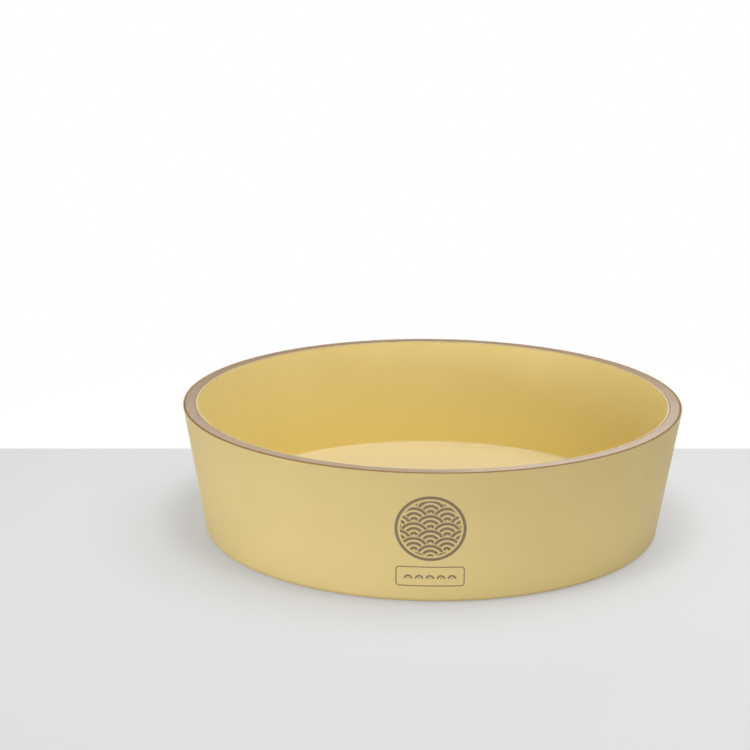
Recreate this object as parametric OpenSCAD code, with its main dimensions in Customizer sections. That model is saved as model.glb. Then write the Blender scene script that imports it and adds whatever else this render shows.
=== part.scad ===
// Round tub for dressing and mixing sushi rice: a double-walled plastic body, cream-yellow inside
// and out, closed at the rim by a brown ring that lies flush between the two walls.
// The origin is the middle of the foot, on the table. The printed mark faces -Y.
// Wall thicknesses are measured level, from the outside in.

/* [Tub] */
// Outer diameter that the wall's lean reaches at the full height
rim_d = 480; // [390:1:720]
// Height of the whole tub
tub_h = 127; // [114:1:180]
// Lean of both walls from upright, in degrees
wall_lean = 9.6; // [4:0.1:14]
// Height of the rice floor above the table
floor_z = 20; // [17:0.5:28]

/* [Rim ring] */
// Width of the ring
ring_w = 10.9; // [9.5:0.1:20]
// Thickness of the ring's flange
ring_t = 3; // [2.6:0.1:4]
// Rounding of the ring's outer edge, which makes the dark line round the rim
ring_round = 2; // [0.6:0.1:2.2]
// Thickness of the two skirts that plug into the double wall, at their tips
skirt_t = 1.6; // [1.2:0.1:2.2]
// Depth of the skirts below the flange
skirt_h = 9; // [4:0.5:14]
// Bevel at the tip of a skirt, which leads it into the double wall
skirt_lead = 0.6; // [0.3:0.1:1]
// Clearance between the ring and the walls beside it
fit_gap = 0.1; // [0.05:0.05:0.3]
// Rounding of the fine edges where the ring and the bowl's lip meet
hairline_round = 0.5; // [0.2:0.1:0.6]

/* [Inner bowl] */
// Thickness of the bowl's wall
bowl_t = 3.3; // [2.6:0.1:5]
// Thickness of the bowl's floor
bowl_floor_t = 5; // [3:0.1:6.5]
// Width of the ledge in the bowl's wall that carries the ring
ledge_w = 0.8; // [0.6:0.1:1.2]
// Rounding where the rice floor meets the wall
floor_round = 3; // [1:0.5:10]
// Rounding of the lip's inner edge
lip_round = 0.9; // [0.3:0.1:1.1]

/* [Outer shell] */
// Thickness of the shell's wall
shell_t = 3.5; // [2.5:0.1:4.5]
// Width of the shell's edge, which stands up outside the ring
edge_w = 0.8; // [0.6:0.1:1.4]
// Step from the ring's top down to the shell's edge
edge_drop = 0.4; // [0.2:0.1:1]
// Thickness of the shell's raised base, under the bowl
base_t = 5; // [3:0.1:6.5]
// Rounding of the outer edge at the table
base_round = 7; // [5:0.5:12]
// Width of the foot, from the wall's foot line to the recess
foot_w = 24; // [20:1:40]
// Rounding of the foot's inner edge
foot_round = 2.5; // [1:0.5:4]
// Draft of the recess under the base, in degrees
recess_draft = 12; // [3:1:25]

/* [Printed mark] */
// Diameter of the wave roundel
roundel_d = 63; // [40:1:66]
// Height of the roundel's centre above the table
roundel_z = 73.5; // [70:0.5:78]
// Width of the printed strokes
stroke_w = 2.6; // [1.5:0.1:3]
// Bare width between strokes
stroke_gap = 2; // [1.5:0.1:3]
// Radius of one wave, to its outermost stroke
wave_r = 14.5; // [12:0.5:20]
// Width of the plate outline under the roundel
plate_w = 61; // [50:1:80]
// Height of the plate outline
plate_h = 19.5; // [13:0.5:21]
// Height of the plate's centre above the table
plate_z = 26.5; // [25:0.5:29]
// Width of the plate's outline
plate_stroke = 0.8; // [0.4:0.1:1.2]
// Radius of a small wave crest inside the plate outline
crest_r = 4.5; // [3:0.1:5]
// Number of small wave crests
crests = 5; // [3:1:6]
// Thickness of the ink
ink_t = 0.25; // [0.15:0.05:0.5]
// Clearance between the wall and the ink, which keeps the two solids apart
ink_gap = 0.02; // [0.01:0.01:0.05]

/* [Hidden] */
$fn = 180;

cream = [0.86, 0.76, 0.50];
brown = [0.55, 0.43, 0.31];
ink = [0.38, 0.31, 0.22];

// Turn of one straight piece of a rounding, in degrees
arc_step = 7.5;

rim_r = rim_d / 2;
slope = tan(wall_lean);
edge_z = tub_h - edge_drop;
edge_round = 0.4 * edge_w;
seat_z = tub_h - ring_t;
lip_w = bowl_t - ledge_w - ring_t * slope;
wall_w = edge_w + fit_gap + ring_w + fit_gap + lip_w;
base_z = floor_z - bowl_floor_t;
recess_z = base_z - base_t;
foot_in_r = outer_r(0) - foot_w;
recess_in = recess_z * tan(recess_draft);
skirt_end_z = seat_z - skirt_h;

// Radius at height z of the wall's four faces, from the outside in
function outer_r(z) = rim_r - (tub_h - z) * slope;
function shell_in_r(z) = outer_r(z) - shell_t;
function bowl_out_r(z) = inner_r(z) + bowl_t;
function inner_r(z) = outer_r(z) - wall_w;

// Radius at height z of the inside of the shell's edge, and of the ring's flange beside it
function edge_in_r(z) = outer_r(z) - edge_w;
function ring_out_r(z) = edge_in_r(z) - fit_gap;
ring_in_r = ring_out_r(tub_h) - ring_w;

// Radius of the ring's inner skirt, on the side that faces the bowl, and of the outer skirt at
// height z, on the side that faces the shell
skirt_in_r = bowl_out_r(seat_z) + fit_gap;
function skirt_out_r(z) = shell_in_r(z) - fit_gap;

// Outline with rounded corners: each corner is [x, y, radius], and the arcs touch both edges
function rounded(corners) = [
    for (i = [0 : len(corners) - 1])
        let (n = len(corners), before = corners[(i + n - 1) % n], after = corners[(i + 1) % n])
            each corner_arc(corners[i], before, after)
];
function corner_arc(corner, before, after) =
    corner[2] == 0 ? [flat(corner)] :
    let (
        p = flat(corner),
        u = unit(flat(before) - p),
        v = unit(flat(after) - p),
        half = acos(u * v) / 2,
        centre = p + unit(u + v) * corner[2] / sin(half),
        first = heading(p + u * corner[2] / tan(half) - centre),
        last = heading(p + v * corner[2] / tan(half) - centre),
        sweep = short_way(last - first),
        steps = max(2, ceil(abs(sweep) / arc_step))
    ) [for (k = [0 : steps]) centre + corner[2] * direction(first + sweep * k / steps)];
function flat(p) = [p[0], p[1]];
function unit(v) = v / norm(v);
function heading(v) = atan2(v[1], v[0]);
function direction(a) = [cos(a), sin(a)];
function short_way(a) = a > 180 ? a - 360 : a < -180 ? a + 360 : a;

// Outer wall and base in one moulding: the base is raised to carry the bowl's floor, and a
// hollow foot runs round it, as thick as the wall. At the rim a thin edge stands up round the ring.
module outer_shell() {
    color(cream)
        rotate_extrude()
            polygon(rounded([
                [0, recess_z, 0],
                [foot_in_r - recess_in, recess_z, foot_round + shell_t],
                [foot_in_r, 0, foot_round],
                [outer_r(0), 0, base_round],
                [outer_r(edge_z), edge_z, edge_round],
                [edge_in_r(edge_z), edge_z, edge_round],
                [edge_in_r(seat_z), seat_z, 0],
                [shell_in_r(seat_z), seat_z, 0],
                [shell_in_r(shell_t), shell_t, base_round - shell_t],
                [foot_in_r + shell_t, shell_t, foot_round],
                [foot_in_r + shell_t - recess_in, base_z, foot_round],
                [0, base_z, 0],
            ]));
}

// Bowl that holds the rice. Its floor lies on the shell's raised base, and its lip stands up
// inside the ring, level with it.
module inner_bowl() {
    color(cream)
        rotate_extrude()
            polygon(rounded([
                [0, base_z, 0],
                [bowl_out_r(base_z), base_z, floor_round + bowl_t],
                [bowl_out_r(seat_z), seat_z, 0],
                [ring_in_r - fit_gap, seat_z, 0],
                [ring_in_r - fit_gap, tub_h, hairline_round],
                [inner_r(tub_h), tub_h, lip_round],
                [inner_r(floor_z), floor_z, floor_round],
                [0, floor_z, 0],
            ]));
}

// Ring that closes the double wall: its flange lies on the ledges of the shell and the bowl, and
// two skirts plug into the hollow between them. The inner skirt is upright, so that the ring goes
// on from above, and the outer one follows the shell's lean, as the flange's outer edge does.
module rim_ring() {
    color(brown)
        rotate_extrude()
            polygon(rounded([
                [ring_in_r, seat_z, 0],
                [skirt_in_r, seat_z, 0],
                [skirt_in_r, skirt_end_z + skirt_lead, 0],
                [skirt_in_r + skirt_lead, skirt_end_z, 0],
                [skirt_in_r + skirt_t, skirt_end_z, 0],
                [skirt_in_r + skirt_t, seat_z, 0],
                [skirt_out_r(skirt_end_z) - skirt_t, seat_z, 0],
                [skirt_out_r(skirt_end_z) - skirt_t, skirt_end_z, 0],
                [skirt_out_r(skirt_end_z) - skirt_lead, skirt_end_z, 0],
                [skirt_out_r(skirt_end_z + skirt_lead), skirt_end_z + skirt_lead, 0],
                [skirt_out_r(seat_z), seat_z, 0],
                [ring_out_r(seat_z), seat_z, 0],
                [ring_out_r(tub_h), tub_h, ring_round],
                [ring_in_r, tub_h, hairline_round],
            ]));
}

// Printed mark on the front of the wall: a roundel of overlapping waves, and under it a plate
// outline that holds a row of small wave crests.
module front_mark() {
    color(ink)
        intersection() {
            ink_skin();
            rotate([90, 0, 0])
                linear_extrude(rim_r) {
                    translate([0, roundel_z]) wave_roundel();
                    translate([0, plate_z]) plate_outline();
                    translate([0, plate_z]) crest_row();
                }
        }
}

// Thin layer that lies on the outer wall, as tall as the mark
module ink_skin() {
    low = plate_z - plate_h;
    high = roundel_z + roundel_d;
    rotate_extrude()
        polygon([
            [outer_r(low) + ink_gap, low],
            [outer_r(low) + ink_gap + ink_t, low],
            [outer_r(high) + ink_gap + ink_t, high],
            [outer_r(high) + ink_gap, high],
        ]);
}

module wave_roundel() {
    edge_r = roundel_d / 2;
    difference() {
        circle(edge_r);
        circle(edge_r - stroke_w);
    }
    field_r = edge_r - stroke_w - stroke_gap;
    rows = ceil(2 * field_r / wave_r) + 1;
    intersection() {
        circle(field_r);
        for (row = [-rows : rows], col = [-1 : 1])
            translate([(2 * col + row % 2) * wave_r, row * wave_r / 2]) wave();
    }
}

// One wave: the strokes of a disc that the waves in front of it leave bare
module wave() {
    difference() {
        wave_strokes(wave_r, stroke_w, stroke_gap);
        for (side = [-1, 1]) translate([side * wave_r, -wave_r / 2]) circle(wave_r);
        translate([0, -wave_r]) circle(wave_r);
    }
}

// Rings from radius r inwards, each with its stroke, down to a dot
module wave_strokes(r, stroke, gap) {
    for (edge = [r - gap / 2 : -(stroke + gap) : stroke / 2])
        difference() {
            circle(edge);
            if (edge > stroke + gap / 2) circle(edge - stroke);
        }
}

module plate_outline() {
    corner_r = plate_h / 6;
    difference() {
        rounded_plate(plate_w, plate_h, corner_r);
        rounded_plate(plate_w - 2 * plate_stroke, plate_h - 2 * plate_stroke, corner_r - plate_stroke);
    }
}

// Small crests side by side, each an arc over a half disc
module crest_row() {
    crest_stroke = crest_r / 3;
    for (i = [0 : crests - 1])
        translate([(2 * i + 1 - crests) * (crest_r + crest_stroke / 4), -crest_r / 2])
            intersection() {
                wave_strokes(crest_r, crest_stroke, crest_stroke);
                translate([-crest_r, 0]) square([2 * crest_r, crest_r]);
            }
}

module rounded_plate(w, h, r) {
    polygon(rounded([[-w / 2, -h / 2, r], [w / 2, -h / 2, r], [w / 2, h / 2, r], [-w / 2, h / 2, r]]));
}

outer_shell();
inner_bowl();
rim_ring();
front_mark();
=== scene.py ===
# %% [markdown]
# # A sushi rice tub, dressed in Blender
# The tub is three plastic mouldings and a print: an outer shell, an inner bowl, the ring that closes
# the wall between them, and a mark on the front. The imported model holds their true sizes, and this
# lesson gives them their looks. It starts by loading that model as a fixed frame. Everything here is
# in metres, with the origin in the middle of the foot, level with its underside, and the print on -Y.

# %% Load the frame
from math import pi, radians, tan

import bmesh
import bpy
from mathutils import Matrix, Vector


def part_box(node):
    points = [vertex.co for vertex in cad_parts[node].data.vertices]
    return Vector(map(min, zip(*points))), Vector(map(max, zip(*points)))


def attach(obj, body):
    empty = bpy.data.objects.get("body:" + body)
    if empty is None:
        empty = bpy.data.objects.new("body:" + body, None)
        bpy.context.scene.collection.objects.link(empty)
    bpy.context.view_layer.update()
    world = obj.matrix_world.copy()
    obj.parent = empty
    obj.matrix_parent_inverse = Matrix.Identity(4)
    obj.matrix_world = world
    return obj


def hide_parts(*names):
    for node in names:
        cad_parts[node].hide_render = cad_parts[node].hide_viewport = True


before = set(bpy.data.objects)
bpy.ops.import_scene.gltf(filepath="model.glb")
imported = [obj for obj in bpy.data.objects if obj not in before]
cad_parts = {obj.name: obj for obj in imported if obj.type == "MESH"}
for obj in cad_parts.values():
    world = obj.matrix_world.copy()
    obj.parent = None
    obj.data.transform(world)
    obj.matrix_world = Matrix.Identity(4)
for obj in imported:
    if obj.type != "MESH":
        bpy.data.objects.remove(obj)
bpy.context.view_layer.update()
MM = 0.001
print("nodes:", sorted(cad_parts))

# %% [markdown]
# ## The camera
# The view is a long lens from above the front edge, which keeps the rim's ellipse calm. A camera can
# be aimed with a constraint or by typing its turns. Here it gets its place and three turns, in the
# order in which a tripod head has them: pan, tilt, roll, all in radians. The place is measured in
# rim radii, since that is how a view is worked out from a round rim. Depth of field stays off, and
# the lens isn't shifted.

# %% Set up the camera
rim_r = 240 * MM
camera_place = Vector((0, -8.547, 2.9144)) * rim_r
pan = 0.0269
tilt = 0.26162
roll = 0.00417
lens_mm = 105.7
sensor_mm = 36

bpy.ops.object.camera_add()
camera = bpy.context.object
camera.name = "studio_camera"
camera.data.sensor_width = sensor_mm
camera.data.lens = lens_mm
camera.matrix_world = (
    Matrix.Translation(camera_place)
    @ Matrix.Rotation(pan, 4, "Z")
    @ Matrix.Rotation(pi / 2 - tilt, 4, "X")
    @ Matrix.Rotation(roll, 4, "Z")
)
bpy.context.scene.camera = camera
print("camera is", round(camera_place.length, 2), "m from the foot's middle")

# %% [markdown]
# ## How the mouldings are made
# The real shell, bowl and ring come out of round moulds, so each is one section turned about the
# axis. Three ways would give that form: a curve with a Screw modifier, a cylinder whose rings are
# scaled one by one, or a drawn section that is spun. The last is closest to how a mould is drawn.
# One vertex is extruded from corner to corner, the corners that the mould rounds are bevelled, and
# the outline is spun once round the Z axis. Corners are (radius, height, rounding).

# %% Draw a section
def select_only(piece):
    """Selects one object alone and makes it the one that operators act on."""
    bpy.ops.object.select_all(action="DESELECT")
    piece.select_set(True)
    bpy.context.view_layer.objects.active = piece


def draw_section(name, corners):
    """Draws a section beside the Z axis, in the XZ plane, and leaves it open in edit mode."""
    bpy.ops.object.select_all(action="DESELECT")
    bpy.ops.mesh.primitive_plane_add(size=rim_r)
    section = bpy.context.object
    section.name = name
    bpy.ops.object.mode_set(mode="EDIT")
    bpy.ops.mesh.select_mode(type="VERT")
    bpy.ops.mesh.merge(type="CENTER")
    bpy.ops.transform.translate(value=(corners[0][0], 0, corners[0][1]))
    for (r, z, _), (next_r, next_z, _) in zip(corners, corners[1:]):
        bpy.ops.mesh.extrude_region_move(
            TRANSFORM_OT_translate={"value": (next_r - r, 0, next_z - z)}
        )
    return section


# %% Round its corners
arc_steps = 8
arc_profile = 0.5


def select_corner(section, r, z):
    """Selects the vertex of the section nearest to radius r and height z."""
    bpy.ops.mesh.select_all(action="DESELECT")
    cage = bmesh.from_edit_mesh(section.data)
    place = Vector((r, 0, z))
    min(cage.verts, key=lambda vertex: (vertex.co - place).length).select_set(True)
    bmesh.update_edit_mesh(section.data)


def round_corners(section, corners):
    """Bevels each corner that has a rounding. The bevel starts where an arc of that radius would."""
    for i, (r, z, rounding) in enumerate(corners):
        if rounding == 0:
            continue
        here = Vector((r, z))
        before = Vector(corners[i - 1][:2]) - here
        after = Vector(corners[(i + 1) % len(corners)][:2]) - here
        select_corner(section, r, z)
        bpy.ops.mesh.bevel(
            offset=rounding / tan(before.angle(after) / 2),
            segments=arc_steps,
            profile=arc_profile,
            affect="VERTICES",
        )


# %% Spin it round the axis
spin_steps = 360
weld = 0.01 * MM
smooth_under = radians(35)


def spin_section(section):
    """Turns the section into a closed solid of revolution, with even shading."""
    bpy.ops.mesh.select_all(action="SELECT")
    bpy.ops.mesh.spin(steps=spin_steps, angle=2 * pi, center=(0, 0, 0), axis=(0, 0, 1))
    bpy.ops.mesh.select_all(action="SELECT")
    bpy.ops.mesh.remove_doubles(threshold=weld)
    bpy.ops.mesh.normals_make_consistent(inside=False)
    bpy.ops.object.mode_set(mode="OBJECT")
    select_only(section)
    bpy.ops.object.shade_smooth_by_angle(angle=smooth_under)
    bpy.ops.object.modifier_add(type="WEIGHTED_NORMAL")
    section.modifiers[-1].keep_sharp = True
    bpy.ops.object.modifier_apply(modifier=section.modifiers[-1].name)


def close_section(section, corners):
    """Joins the last corner to the first, for a section that doesn't end on the axis."""
    select_corner(section, *corners[-1][:2])
    cage = bmesh.from_edit_mesh(section.data)
    place = Vector((corners[0][0], 0, corners[0][1]))
    min(cage.verts, key=lambda vertex: (vertex.co - place).length).select_set(True)
    bpy.ops.mesh.edge_face_add()


def turn_moulding(name, corners):
    """One moulding from its corners: drawn, rounded and spun."""
    section = draw_section(name, corners)
    if corners[0][0] > 0:
        close_section(section, corners)
    round_corners(section, corners)
    spin_section(section)
    return section


def report_fit(piece, node):
    """Prints how far the piece's box is from its node's box, in mm."""
    points = [vertex.co for vertex in piece.data.vertices]
    low = [min(point[axis] for point in points) for axis in range(3)]
    high = [max(point[axis] for point in points) for axis in range(3)]
    off = [abs(a - b) / MM for pair in zip((low, high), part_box(node)) for a, b in zip(*pair)]
    print(piece.name, "off its node by at most", round(max(off), 3), "mm, faces", len(piece.data.polygons))


# %% [markdown]
# ## The walls' lines
# Shell, bowl and ring share one drawing. All four faces of the double wall lean outwards by the same
# angle, so each is a straight line, and its radius at a height is worked out from the rim. Heights
# could be typed in as well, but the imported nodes' boxes have most of them, so these are read there.

# %% Lay out the double wall
tub_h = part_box("rim_ring")[1].z
skirt_end_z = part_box("rim_ring")[0].z
edge_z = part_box("outer_shell")[1].z
base_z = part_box("inner_bowl")[0].z
bowl_floor_t = 5 * MM
base_t = 5 * MM
ring_t = 3 * MM
floor_z = base_z + bowl_floor_t
recess_z = base_z - base_t
seat_z = tub_h - ring_t

wall_lean = radians(9.6)
wall_slope = tan(wall_lean)
shell_t = 3.5 * MM
edge_w = 0.8 * MM
fit_gap = 0.1 * MM
ring_w = 10.9 * MM
bowl_t = 3.3 * MM
ledge_w = 0.8 * MM
lip_w = bowl_t - ledge_w - (tub_h - seat_z) * wall_slope
wall_w = edge_w + 2 * fit_gap + ring_w + lip_w


def outer_r(z):
    return rim_r - (tub_h - z) * wall_slope


def inner_r(z):
    return outer_r(z) - wall_w


print("wall at the rim:", round(wall_w / MM, 2), "mm, foot radius:", round(outer_r(0) / MM, 1), "mm")

# %% [markdown]
# ## The outer shell
# Wall and raised base are one moulding, about as thick all over. The base is raised to carry the
# bowl's floor, so a hollow foot runs round it. At the top a thin edge stands up outside the ring. A
# Solidify modifier would give a leaning cylinder an even wall, but not that edge or the foot, so
# every corner of the section is written out.

# %% Turn the outer shell
foot_w = 24 * MM
recess_draft = radians(12)
foot_in_r = outer_r(0) - foot_w
recess_in = recess_z * tan(recess_draft)
base_round = 7 * MM
foot_round = 2.5 * MM
edge_round = 0.4 * edge_w

outer_shell = turn_moulding("tub_shell", [
    (0, recess_z, 0),
    (foot_in_r - recess_in, recess_z, foot_round + shell_t),
    (foot_in_r, 0, foot_round),
    (outer_r(0), 0, base_round),
    (outer_r(edge_z), edge_z, edge_round),
    (outer_r(edge_z) - edge_w, edge_z, edge_round),
    (outer_r(seat_z) - edge_w, seat_z, 0),
    (outer_r(seat_z) - shell_t, seat_z, 0),
    (outer_r(shell_t) - shell_t, shell_t, base_round - shell_t),
    (foot_in_r + shell_t, shell_t, foot_round),
    (foot_in_r + shell_t - recess_in, base_z, foot_round),
    (0, base_z, 0),
])
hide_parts("outer_shell")
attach(outer_shell, "root")
report_fit(outer_shell, "outer_shell")

# %% [markdown]
# ## The inner bowl
# The bowl drops into the shell and lies on its raised base. Its floor is flat, with a small rounding
# at the wall, and its lip stands up inside the ring and shows as a thin cream line. Seen from above,
# a second wall of the shell would look the same. The bowl is a moulding of its own, with a ledge for
# the ring, so it gets its own section.

# %% Turn the inner bowl
floor_round = 3 * MM
lip_round = 0.9 * MM
hairline_round = 0.5 * MM
ring_out_r = outer_r(tub_h) - edge_w - fit_gap
ring_in_r = ring_out_r - ring_w
lip_out_r = ring_in_r - fit_gap

inner_bowl = turn_moulding("rice_bowl", [
    (0, base_z, 0),
    (inner_r(base_z) + bowl_t, base_z, floor_round + bowl_t),
    (inner_r(seat_z) + bowl_t, seat_z, 0),
    (lip_out_r, seat_z, 0),
    (lip_out_r, tub_h, hairline_round),
    (inner_r(tub_h), tub_h, lip_round),
    (inner_r(floor_z), floor_z, floor_round),
    (0, floor_z, 0),
])
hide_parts("inner_bowl")
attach(inner_bowl, "root")
report_fit(inner_bowl, "inner_bowl")

# %% [markdown]
# ## The rim ring
# The brown ring closes the double wall. Its flange lies on the ledges of shell and bowl, and two
# skirts under it plug into the hollow. The flange's outer edge is rounded, and in the light from
# above that rounding is the dark line that runs round the rim. A flat ring with a Bevel modifier
# would show as much. The whole section is drawn because the ring has to fit what shell and bowl
# leave free.

# %% Turn the rim ring
ring_round = 2 * MM
skirt_t = 1.6 * MM
skirt_lead = 0.6 * MM
skirt_in_r = inner_r(seat_z) + bowl_t + fit_gap


def skirt_out_r(z):
    return outer_r(z) - shell_t - fit_gap


rim_ring = turn_moulding("closing_ring", [
    (ring_in_r, seat_z, 0),
    (skirt_in_r, seat_z, 0),
    (skirt_in_r, skirt_end_z + skirt_lead, 0),
    (skirt_in_r + skirt_lead, skirt_end_z, 0),
    (skirt_in_r + skirt_t, skirt_end_z, 0),
    (skirt_in_r + skirt_t, seat_z, 0),
    (skirt_out_r(skirt_end_z) - skirt_t, seat_z, 0),
    (skirt_out_r(skirt_end_z) - skirt_t, skirt_end_z, 0),
    (skirt_out_r(skirt_end_z) - skirt_lead, skirt_end_z, 0),
    (skirt_out_r(skirt_end_z + skirt_lead), skirt_end_z + skirt_lead, 0),
    (skirt_out_r(seat_z), seat_z, 0),
    (outer_r(seat_z) - edge_w - fit_gap, seat_z, 0),
    (ring_out_r, tub_h, ring_round),
    (ring_in_r, tub_h, hairline_round),
])
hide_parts("rim_ring")
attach(rim_ring, "root")
report_fit(rim_ring, "rim_ring")

# %% [markdown]
# ## Finishes, and the helpers for their nodes
# Each finish is a node material that reads Object coordinates, which are metres here, so a noise of
# scale 100 has features about a hundredth of a metre across. Constants, such as the index of
# refraction, are typed straight into the shader, and only what varies over the surface is linked.

# %% Helpers for nodes
def start_finish(name):
    """A new material with its Principled shader."""
    finish = bpy.data.materials.new(name)
    finish.use_nodes = True
    return finish, finish.node_tree.nodes["Principled BSDF"]


def add_node(finish, kind, inputs=None, **settings):
    """Adds a shader node, with its settings and the unlinked values of its inputs."""
    node = finish.node_tree.nodes.new("ShaderNode" + kind)
    for setting, value in settings.items():
        setattr(node, setting, value)
    for socket, value in (inputs or {}).items():
        node.inputs[socket].default_value = value
    return node


def link(finish, output, socket):
    finish.node_tree.links.new(output, socket)


# %% Helpers for noise and ranges
noise_low = 0.3
noise_high = 0.7


def add_noise(finish, place, scale, detail):
    """Noise between 0 and 1 at the given scale, read at place."""
    noise = add_node(finish, "TexNoise", {"Scale": scale, "Detail": detail})
    link(finish, place, noise.inputs["Vector"])
    return noise.outputs["Fac"]


def spread(finish, value, low, high):
    """Turns the middle of a noise, where nearly all of it lies, into low to high."""
    ranges = {"From Min": noise_low, "From Max": noise_high, "To Min": low, "To Max": high}
    stretch = add_node(finish, "MapRange", ranges)
    link(finish, value, stretch.inputs["Value"])
    return stretch.outputs["Result"]


def ramp_between(finish, value, start, end):
    """0 up to start, 1 from end on, and even in between. It can start high and end low."""
    stretch = add_node(finish, "MapRange", {"From Min": start, "From Max": end})
    link(finish, value, stretch.inputs["Value"])
    return stretch.outputs["Result"]


# %% Helpers for colour and bump
def blend_colours(finish, value, dark, light):
    """Mixes two colours by a value between 0 and 1."""
    mix = add_node(finish, "Mix", data_type="RGBA")
    mix.inputs["A"].default_value = (*dark, 1)
    mix.inputs["B"].default_value = (*light, 1)
    link(finish, value, mix.inputs["Factor"])
    return mix.outputs["Result"]


def tint_where(finish, colour, amount, tint):
    """Lets a colour go over into a tint where the amount is 1."""
    mix = add_node(finish, "Mix", data_type="RGBA")
    mix.inputs["B"].default_value = (*tint, 1)
    link(finish, colour, mix.inputs["A"])
    link(finish, amount, mix.inputs["Factor"])
    return mix.outputs["Result"]


def add_bump(finish, height, depth, below=None):
    """Raises the surface by depth where height is 1. Goes on top of another bump, if one is given."""
    bump = add_node(finish, "Bump", {"Strength": 1.0, "Distance": depth})
    link(finish, height, bump.inputs["Height"])
    if below:
        link(finish, below, bump.inputs["Normal"])
    return bump.outputs["Normal"]


# %% [markdown]
# ## Cream polyethylene
# Shell and bowl are satin polyethylene, coloured through. Such a wall is never perfectly even: the
# pigment clouds a little, thick mouldings cool into long shallow waves, and the mould's sparked face
# leaves a grain too fine to see from a step away. A photo texture could hold that, but noises at
# three scales do too, and they need no image and no unwrapping.
#
# The bowl's cream is a lighter copy of the shell's, as painted light inside the tub. More light and
# shade are painted in by height. The bowl's floor is painted paler, as painted light, and the wall
# beside it a deeper gold, as painted bounce light. The bowl's lip and the shell's thin edge are
# painted darker, as painted shade, and the outer wall is painted paler towards its foot, as painted
# bounce light from the floor. Paint masks could place such tints. On a turned form the height alone
# does, so each zone is a tint that comes in between two heights. The bowl has been polished by rice
# and cloths, so it has a little more gloss than the dry outer wall.

# %% Mix the cream plastic
cloud_scale = 16
patch_scale = 45
satin_rough = (0.40, 0.48)
wave_scale = 9
wave_depth = 0.5 * MM
grain_scale = 1400
grain_depth = 0.012 * MM


def mix_cream(name, deep, light, zones, ior):
    """Satin cream plastic. A zone is a tint and the two heights between which it comes in."""
    finish, shader = start_finish(name)
    place = add_node(finish, "TexCoord").outputs["Object"]
    clouds = add_noise(finish, place, cloud_scale, detail=3)
    colour = blend_colours(finish, spread(finish, clouds, 0, 1), deep, light)
    split = add_node(finish, "SeparateXYZ")
    link(finish, place, split.inputs["Vector"])
    for tint, start_z, end_z in zones:
        zone = ramp_between(finish, split.outputs["Z"], start_z, end_z)
        colour = tint_where(finish, colour, zone, tint)
    link(finish, colour, shader.inputs["Base Color"])
    patches = add_noise(finish, place, patch_scale, detail=4)
    link(finish, spread(finish, patches, *satin_rough), shader.inputs["Roughness"])
    waves = add_bump(finish, add_noise(finish, place, wave_scale, detail=1), wave_depth)
    grain = add_bump(finish, add_noise(finish, place, grain_scale, detail=2), grain_depth, waves)
    link(finish, grain, shader.inputs["Normal"])
    shader.inputs["IOR"].default_value = ior
    print(name, "has", len(finish.node_tree.nodes), "nodes")
    return finish


# %% Put it on the shell
cream_deep = (0.610, 0.475, 0.204)
cream_light = (0.643, 0.506, 0.226)
# Towards the foot the shell is painted paler: painted bounce light from the floor.
foot_bounce_light = (0.758, 0.602, 0.264)
# The shell's thin edge is painted dark: painted shade of the groove where it meets the ring.
edge_groove_shade = (0.46, 0.34, 0.18)
dry_ior = 1.2

# The painted bounce light would only be full below the foot, so it is about three quarters full there.
bounce_full_z = -40 * MM
groove_shade_from_z = edge_z - 0.4 * MM
groove_shade_full_z = edge_z - 0.2 * MM
shell_zones = [
    (foot_bounce_light, tub_h, bounce_full_z),
    (edge_groove_shade, groove_shade_from_z, groove_shade_full_z),
]
cream_shell = mix_cream("cream_shell", cream_deep, cream_light, shell_zones, dry_ior)
outer_shell.data.materials.append(cream_shell)

# %% Put it on the bowl
# The bowl's cream is a lighter copy of the shell's: painted light inside the tub.
lit_bowl_deep = (0.708, 0.565, 0.229)
lit_bowl_light = (0.742, 0.594, 0.249)
# Low on the bowl's wall a deeper gold is painted bounce light from the floor and walls.
painted_bounce_gold = (0.765, 0.592, 0.186)
# The bowl's floor is painted paler: painted light, for the strong light that falls on it.
bowl_floor_light = (0.668, 0.556, 0.314)
# The lip is painted darker: painted shade, which tones down the light it catches.
lip_shade = (0.44, 0.335, 0.165)
satin_ior = 1.3

gold_from_z = tub_h - 5 * MM
bowl_floor_light_full_z = floor_z + 0.3 * MM
lip_shade_full_z = tub_h - 0.3 * MM
bowl_zones = [
    (painted_bounce_gold, gold_from_z, floor_z),
    (bowl_floor_light, floor_z + floor_round, bowl_floor_light_full_z),
    (lip_shade, tub_h - lip_round, lip_shade_full_z),
]
cream_bowl = mix_cream("cream_bowl", lit_bowl_deep, lit_bowl_light, bowl_zones, satin_ior)
inner_bowl.data.materials.append(cream_bowl)

# %% [markdown]
# ## Brown ring
# The ring is a harder, shinier plastic. Its pigment was drawn out round the ring as the mould filled,
# so it has fine streaks that follow the circle. A noise has no such direction. It gets one when it is
# read at a place of its own: the way round the axis, drawn long, and the radius, drawn short. The
# same radius tells where the rounded outer edge is, which is painted a lighter, warmer brown than the
# flat top, as painted light on that edge.

# %% Lay out the streaks
streak_turns = 7
streaks_per_m = 1300

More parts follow.
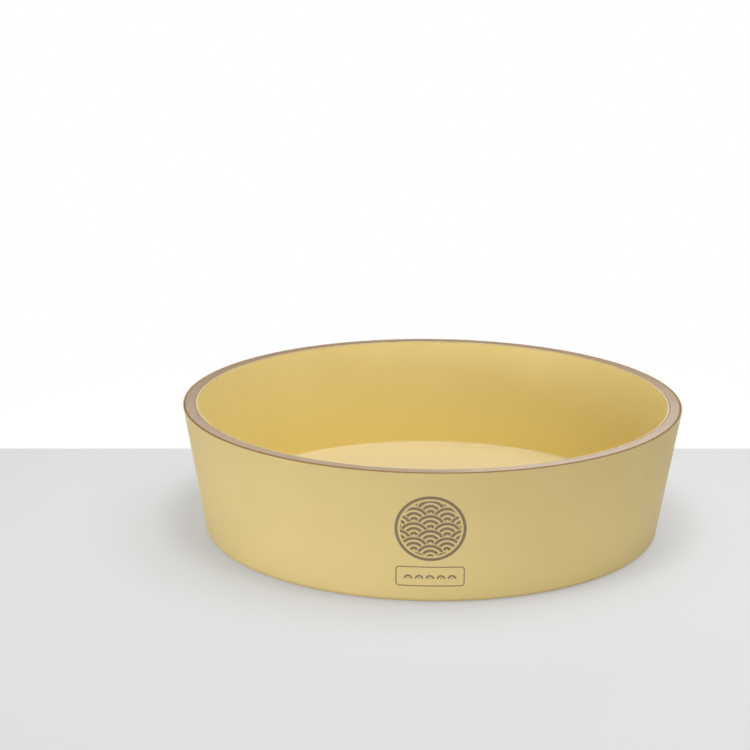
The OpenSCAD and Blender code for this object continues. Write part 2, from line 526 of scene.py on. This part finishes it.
brown_plastic, brown_shader = start_finish("streaked_brown")
place = add_node(brown_plastic, "TexCoord").outputs["Object"]
level = add_node(brown_plastic, "VectorMath", operation="MULTIPLY")
level.inputs[1].default_value = (1, 1, 0)
link(brown_plastic, place, level.inputs[0])
heading = add_node(brown_plastic, "VectorMath", operation="NORMALIZE")
link(brown_plastic, level.outputs["Vector"], heading.inputs[0])
round_way = add_node(brown_plastic, "VectorMath", operation="SCALE")
round_way.inputs["Scale"].default_value = streak_turns
link(brown_plastic, heading.outputs["Vector"], round_way.inputs[0])
radius = add_node(brown_plastic, "VectorMath", operation="LENGTH")
link(brown_plastic, level.outputs["Vector"], radius.inputs[0])
across = add_node(brown_plastic, "Math", operation="MULTIPLY")
across.inputs[1].default_value = streaks_per_m
link(brown_plastic, radius.outputs["Value"], across.inputs[0])
lift = add_node(brown_plastic, "CombineXYZ")
link(brown_plastic, across.outputs["Value"], lift.inputs["Z"])
streak_place = add_node(brown_plastic, "VectorMath", operation="ADD")
link(brown_plastic, round_way.outputs["Vector"], streak_place.inputs[0])
link(brown_plastic, lift.outputs["Vector"], streak_place.inputs[1])
streaks = add_noise(brown_plastic, streak_place.outputs["Vector"], scale=1, detail=4)
print("streaks across the ring:", round(ring_w * streaks_per_m))

# %% Mix the ring's brown
brown_dark = (0.182, 0.097, 0.022)
brown_pale = (0.252, 0.140, 0.035)
edge_painted_light = (0.330, 0.178, 0.062)
edge_light_from_r = ring_out_r - 0.8 * ring_round
edge_light_full_r = ring_out_r - 0.3 * ring_round
gloss_rough = (0.16, 0.11)
scratch_depth = 0.008 * MM
gloss_ior = 1.13

streaked = blend_colours(brown_plastic, spread(brown_plastic, streaks, 0, 1), brown_dark, brown_pale)
# The rounded edge's lighter, warmer brown is painted light.
round_part = ramp_between(brown_plastic, radius.outputs["Value"], edge_light_from_r, edge_light_full_r)
edged = tint_where(brown_plastic, streaked, round_part, edge_painted_light)
link(brown_plastic, edged, brown_shader.inputs["Base Color"])
link(brown_plastic, spread(brown_plastic, streaks, *gloss_rough), brown_shader.inputs["Roughness"])
scratches = add_bump(brown_plastic, streaks, scratch_depth)
link(brown_plastic, scratches, brown_shader.inputs["Normal"])
brown_shader.inputs["IOR"].default_value = gloss_ior
rim_ring.data.materials.append(brown_plastic)
print(brown_plastic.name, "has", len(brown_plastic.node_tree.nodes), "nodes")

# %% [markdown]
# ## Printed ink
# The mark is a matte ink, pad-printed on the wall. A picture of it on the wall would need unwrapping
# and would blur from close by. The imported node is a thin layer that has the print's shape already,
# so it stays and only gets a finish: a dark brown that lies a little thinner here and there.

# %% Ink the mark
ink_thin = (0.225, 0.165, 0.098)
ink_full = (0.190, 0.136, 0.078)
density_scale = 420
matte_rough = (0.60, 0.52)
ink_grain_scale = 1800
ink_grain_depth = 0.01 * MM

ink, ink_shader = start_finish("matte_brown_ink")
place = add_node(ink, "TexCoord").outputs["Object"]
density = add_noise(ink, place, density_scale, detail=3)
inked = blend_colours(ink, spread(ink, density, 0, 1), ink_thin, ink_full)
link(ink, inked, ink_shader.inputs["Base Color"])
link(ink, spread(ink, density, *matte_rough), ink_shader.inputs["Roughness"])
ink_grain = add_bump(ink, add_noise(ink, place, ink_grain_scale, detail=2), ink_grain_depth)
link(ink, ink_grain, ink_shader.inputs["Normal"])

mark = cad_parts["front_mark"]
mark.data.materials.clear()
mark.data.materials.append(ink)
print("ink is on", mark.name)

# %% [markdown]
# ## The floor
# The tub stands on a plain pale top that goes over into white behind it. Both are one large plane.
# Its colour changes behind a straight border, turned a little so that it lies level in the view, and
# the white part gets a touch of light for the camera alone, which makes it white but lets the tub's
# shadow show. Further out the floor fades into the white world on every side, so no edge of the stage
# shows from anywhere. A built backdrop would do that for one view only.
#
# Half of what the camera sees of the top is an even tone. It keeps the shadow as light as large
# diffusers would, while the tub still gets the light that the real top throws back.

# %% Lay the floor
floor_half = 12
floor_rough = 0.9

bpy.ops.object.select_all(action="DESELECT")
bpy.ops.mesh.primitive_plane_add(size=2 * floor_half)
studio_floor = bpy.context.object
studio_floor.name = "studio_floor"

floor_paint, floor_shader = start_finish("pale_floor")
floor_shader.inputs["Roughness"].default_value = floor_rough
floor_shader.inputs["Specular IOR Level"].default_value = 0.0
floor_shader.inputs["Emission Color"].default_value = (1, 1, 1, 1)
studio_floor.data.materials.append(floor_paint)
print(studio_floor.name, "is", 2 * floor_half, "m wide")


# %% Helpers for sums and for rays
def combine(finish, operation, first, second, clamp=False):
    """Works out a number from two outputs, or from an output and a plain number."""
    sum_node = add_node(finish, "Math", operation=operation, use_clamp=clamp)
    for socket, value in zip(sum_node.inputs, (first, second)):
        if isinstance(value, bpy.types.NodeSocket):
            link(finish, value, socket)
        else:
            socket.default_value = value
    return sum_node.outputs["Value"]


def seen_or_reflected(finish):
    """1 for rays from the camera, and for what a gloss or a glass shows, else 0."""
    ray = add_node(finish, "LightPath").outputs
    direct = combine(finish, "ADD", ray["Is Camera Ray"], ray["Is Glossy Ray"])
    return combine(finish, "ADD", direct, ray["Is Transmission Ray"], clamp=True)


# %% Find where the floor is white
white_from = 0.2495
border_turn = 0.0415
edge_soft = 6 * MM
fade_from = 0.8
fade_to = 1.5
fade_sooner = 1.2

place = add_node(floor_paint, "TexCoord").outputs["Object"]
split = add_node(floor_paint, "SeparateXYZ")
link(floor_paint, place, split.inputs["Vector"])
distance = add_node(floor_paint, "VectorMath", operation="LENGTH")
link(floor_paint, place, distance.inputs[0])

turned = combine(floor_paint, "MULTIPLY", split.outputs["X"], -border_turn)
border = combine(floor_paint, "ADD", split.outputs["Y"], turned)
behind = ramp_between(floor_paint, border, white_from, white_from + edge_soft)
sooner = combine(floor_paint, "ADD", combine(floor_paint, "MULTIPLY", behind, fade_sooner), 1)
reach = combine(floor_paint, "MULTIPLY", distance.outputs["Value"], sooner)
outside = ramp_between(floor_paint, reach, fade_from, fade_to)
white_part = combine(floor_paint, "MAXIMUM", behind, outside)
print("floor is white from", white_from, "m behind, and fades out between", fade_from, "and", fade_to, "m")

# %% Paint the floor
near_grey = (0.712, 0.721, 0.739)
far_white = (0.90, 0.90, 0.90)
white_lift = 0.12
even_tone = 0.71
even_share = 0.5

floor_colour = blend_colours(floor_paint, white_part, near_grey, far_white)
link(floor_paint, floor_colour, floor_shader.inputs["Base Color"])
seen = seen_or_reflected(floor_paint)
lift = combine(floor_paint, "MULTIPLY", combine(floor_paint, "MULTIPLY", seen, white_part), white_lift)
link(floor_paint, lift, floor_shader.inputs["Emission Strength"])

even_light = add_node(floor_paint, "Emission")
tone = add_node(floor_paint, "MapRange", {"To Min": even_tone, "To Max": 1.0})
link(floor_paint, white_part, tone.inputs["Value"])
link(floor_paint, tone.outputs["Result"], even_light.inputs["Strength"])
fade = add_node(floor_paint, "MixShader")
evened = combine(floor_paint, "MAXIMUM", outside, even_share)
link(floor_paint, combine(floor_paint, "MULTIPLY", seen, evened), fade.inputs["Fac"])
link(floor_paint, floor_shader.outputs["BSDF"], fade.inputs[1])
link(floor_paint, even_light.outputs["Emission"], fade.inputs[2])
floor_end = floor_paint.node_tree.nodes["Material Output"]
link(floor_paint, fade.outputs["Shader"], floor_end.inputs["Surface"])
print(floor_paint.name, "has", len(floor_paint.node_tree.nodes), "nodes")

# %% [markdown]
# ## Studio light
# Satin plastic shows its form best in soft light from large sources. A sky texture or one big lamp
# would be quicker, but each side of this tub wants its own level, so nine plain area lamps share the
# work:
#
# - Three overhead: a wide softbox, a small one over the front, and one over the right, which lights
#   the far left of the inside.
# - A large softbox in front for the wall and for the back of the inside.
# - Long low reflectors just above the floor, in front and on the left. They light the outer wall,
#   pass the rim only just, and leave most of the shadow on the right. A weak one, hung a little
#   higher, fills in from the right.
# - Two softboxes behind. The ring's flat top mirrors them in front, which is its sheen. Their lower
#   edges hang too high for the back of the ring to mirror, so it stays brown.

# %% Light the tub
def add_softbox(name, lamp_place, aim, width, height, power):
    """A rectangular area lamp that points at aim and doesn't show itself to the camera."""
    bpy.ops.object.light_add(type="AREA", location=lamp_place)
    lamp = bpy.context.object
    lamp.name = name
    lamp.rotation_euler = (Vector(aim) - Vector(lamp_place)).to_track_quat("-Z", "Y").to_euler()
    lamp.data.shape = "RECTANGLE"
    lamp.data.size = width
    lamp.data.size_y = height
    lamp.data.energy = power
    lamp.visible_camera = False


tub_middle = (0, 0, tub_h / 2)
add_softbox("overhead_softbox", (0, 0.1, 1.9), tub_middle, width=2.4, height=1.8, power=15)
add_softbox("front_overhead_lamp", (0, -0.4, 1.5), tub_middle, width=0.4, height=0.4, power=7)
add_softbox("right_overhead_lamp", (0.55, 0.0, 1.6), tub_middle, width=1.3, height=1.3, power=11)
add_softbox("front_softbox", (0, -2.8, 0.95), tub_middle, width=2.6, height=1.4, power=19)
add_softbox("front_reflector", (0, -2.3, 0.14), tub_middle, width=2.0, height=0.22, power=8)
add_softbox("left_reflector", (-1.65, -0.8, 0.19), tub_middle, width=1.6, height=0.32, power=12)
add_softbox("right_reflector", (1.8, -0.3, 0.45), tub_middle, width=1.4, height=0.3, power=2.5)
add_softbox("back_softbox", (-0.2, 2.4, 1.3), tub_middle, width=1.7, height=1.0, power=12)
add_softbox("back_right_softbox", (0.62, 2.2, 1.25), tub_middle, width=1.2, height=0.9, power=6)

# %% [markdown]
# ## The world
# The world is white to the camera and in reflections, and lights the tub far less than it shows. One
# strength for both would wash the form out, so Light Path tells the two kinds of ray apart.

# %% Light the world
world_light = 0.08
world = bpy.data.worlds.new("white_studio")
bpy.context.scene.world = world
world.use_nodes = True
sky = world.node_tree.nodes["Background"]
sky.inputs["Color"].default_value = (1, 1, 1, 1)
strength = add_node(world, "MapRange", {"To Min": world_light, "To Max": 1.0})
link(world, seen_or_reflected(world), strength.inputs["Value"])
link(world, strength.outputs["Result"], sky.inputs["Strength"])
print("world lights the tub at", world_light, "and shows at 1")

# %% [markdown]
# ## The view transform
# The view transform is Standard, under which a colour renders about as it is written. A film-like
# one would grey the white floor and world.

# %% Set the view transform
bpy.context.scene.view_settings.view_transform = "Standard"
